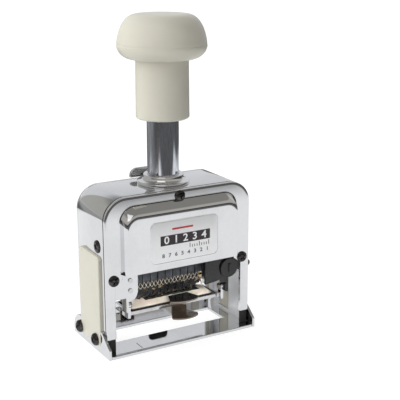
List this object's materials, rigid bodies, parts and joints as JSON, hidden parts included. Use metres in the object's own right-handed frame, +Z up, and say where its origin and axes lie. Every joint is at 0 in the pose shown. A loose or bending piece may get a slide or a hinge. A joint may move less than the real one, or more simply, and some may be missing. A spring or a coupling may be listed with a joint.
{
  "type": "numbering machine",
  "caption": "Chrome self-inking numbering machine with a cream push knob, turning number wheels, a swinging ink pad and a pull-out pad tray, on a slotted base.",
  "frame": {"origin": "middle of the base's underside, on the plunger's axis", "axes": "+Z up along the plunger, -Y the side with the label and the pad's grip, +X to the right seen from that side"},
  "size_m": [0.083, 0.0412, 0.1521],
  "materials": {
    "chrome": "polished",
    "cream_plastic": "satin",
    "label_white": "satin",
    "black_screw": "black oxide",
    "zinc_steel": "zinc plated",
    "dark_steel": "blackened",
    "inked_wheel": "inked",
    "brass": "satin",
    "grip_steel": "polished",
    "felt": "felt",
    "black_rubber": "matt"
  },
  "bodies": {
    "frame": {"housing_shell": "chrome", "front_plate": "chrome", "back_plate": "chrome", "base_plate": "chrome", "side_panel_left": "cream_plastic", "side_panel_right": "cream_plastic", "label_plate": "label_white", "front_plate_screws": "black_screw", "back_plate_screws": "black_screw", "side_wall_screws": "black_screw", "base_flap_screws": "black_screw", "plate_lugs": "zinc_steel", "guide_collar": "chrome", "collar_nut": "zinc_steel", "rest_buffer": "black_rubber", "desk_buffer": "black_rubber", "left_bracket": "chrome", "right_bracket": "dark_steel", "bracket_pins": "zinc_steel", "pad_pivot_pins": "zinc_steel", "spring_bridge": "zinc_steel", "guide_post": "zinc_steel", "return_spring": "zinc_steel"},
    "plunger": {"knob_cap": "cream_plastic", "knob_sleeve": "cream_plastic", "plunger_rod": "chrome", "carriage_head": "zinc_steel", "rod_grub_screws": "black_screw", "left_cheek": "dark_steel", "right_cheek": "dark_steel", "head_screws": "black_screw", "wheel_axle": "zinc_steel", "axle_nuts": "black_screw", "rear_tie_rod": "zinc_steel", "comb_bar": "dark_steel", "comb_fingers": "dark_steel", "axle_spacer": "zinc_steel", "feed_ratchet": "brass"},
    "pad_holder": {"pad_holder": "chrome"},
    "pad_drawer": {"pad_tray": "chrome", "ink_pad": "felt", "tray_grip": "grip_steel"},
    "stop": {"stop_slide": "zinc_steel"},
    "dial": {"selector_dial": "dark_steel"},
    "feeder": {"feed_lever": "brass"},
    "wheel_1": {"number_wheel_1": "inked_wheel"},
    "wheel_2": {"number_wheel_2": "inked_wheel"},
    "wheel_3": {"number_wheel_3": "inked_wheel"},
    "wheel_4": {"number_wheel_4": "inked_wheel"},
    "wheel_5": {"number_wheel_5": "inked_wheel"},
    "wheel_6": {"number_wheel_6": "inked_wheel"},
    "wheel_7": {"number_wheel_7": "inked_wheel"},
    "wheel_8": {"number_wheel_8": "inked_wheel"}
  },
  "joints": [
    {"name": "plunger_press", "type": "slide", "parent": "frame", "child": "plunger", "axis": [0, 0, -1], "range_m": [0, 0.0185], "stiffness_N_per_m": 600, "springref_m": -0.01, "deforming": ["return_spring"]},
    {"name": "pad_swing", "type": "hinge", "parent": "frame", "child": "pad_holder", "pos_m": [0, -0.0112, 0.0214], "axis": [-1, 0, 0], "range_deg": [0, 90]},
    {"name": "drawer_slide", "type": "slide", "parent": "pad_holder", "child": "pad_drawer", "axis": [0, -1, 0], "range_m": [0, 0.007]},
    {"name": "stop_push", "type": "slide", "parent": "frame", "child": "stop", "axis": [0, -1, 0], "range_m": [0, 0.002]},
    {"name": "dial_turn", "type": "hinge", "parent": "frame", "child": "dial", "pos_m": [0.0274, -0.015, 0.0314], "axis": [0, -1, 0], "range_deg": [-60, 60]},
    {"name": "feed_swing", "type": "hinge", "parent": "plunger", "child": "feeder", "pos_m": [0.0187, 0.0022, 0.0296], "axis": [1, 0, 0], "range_deg": [0, 30]},
    {"name": "wheel_1_turn", "type": "hinge", "parent": "plunger", "child": "wheel_1", "pos_m": [-0.0157, 0.0022, 0.0296], "axis": [1, 0, 0], "continuous": true},
    {"name": "wheel_2_turn", "type": "hinge", "parent": "plunger", "child": "wheel_2", "pos_m": [-0.0117, 0.0022, 0.0296], "axis": [1, 0, 0], "continuous": true},
    {"name": "wheel_3_turn", "type": "hinge", "parent": "plunger", "child": "wheel_3", "pos_m": [-0.0077, 0.0022, 0.0296], "axis": [1, 0, 0], "continuous": true},
    {"name": "wheel_4_turn", "type": "hinge", "parent": "plunger", "child": "wheel_4", "pos_m": [-0.0037, 0.0022, 0.0296], "axis": [1, 0, 0], "continuous": true},
    {"name": "wheel_5_turn", "type": "hinge", "parent": "plunger", "child": "wheel_5", "pos_m": [0.0003, 0.0022, 0.0296], "axis": [1, 0, 0], "continuous": true},
    {"name": "wheel_6_turn", "type": "hinge", "parent": "plunger", "child": "wheel_6", "pos_m": [0.0043, 0.0022, 0.0296], "axis": [1, 0, 0], "continuous": true},
    {"name": "wheel_7_turn", "type": "hinge", "parent": "plunger", "child": "wheel_7", "pos_m": [0.0083, 0.0022, 0.0296], "axis": [1, 0, 0], "continuous": true},
    {"name": "wheel_8_turn", "type": "hinge", "parent": "plunger", "child": "wheel_8", "pos_m": [0.0123, 0.0022, 0.0296], "axis": [1, 0, 0], "continuous": true}
  ],
  "couplings": [
    {"joint": "pad_swing", "follows": "plunger_press", "rad_per_m": 84.908},
    {"joint": "feed_swing", "follows": "plunger_press", "rad_per_m": 28.303}
  ]
}
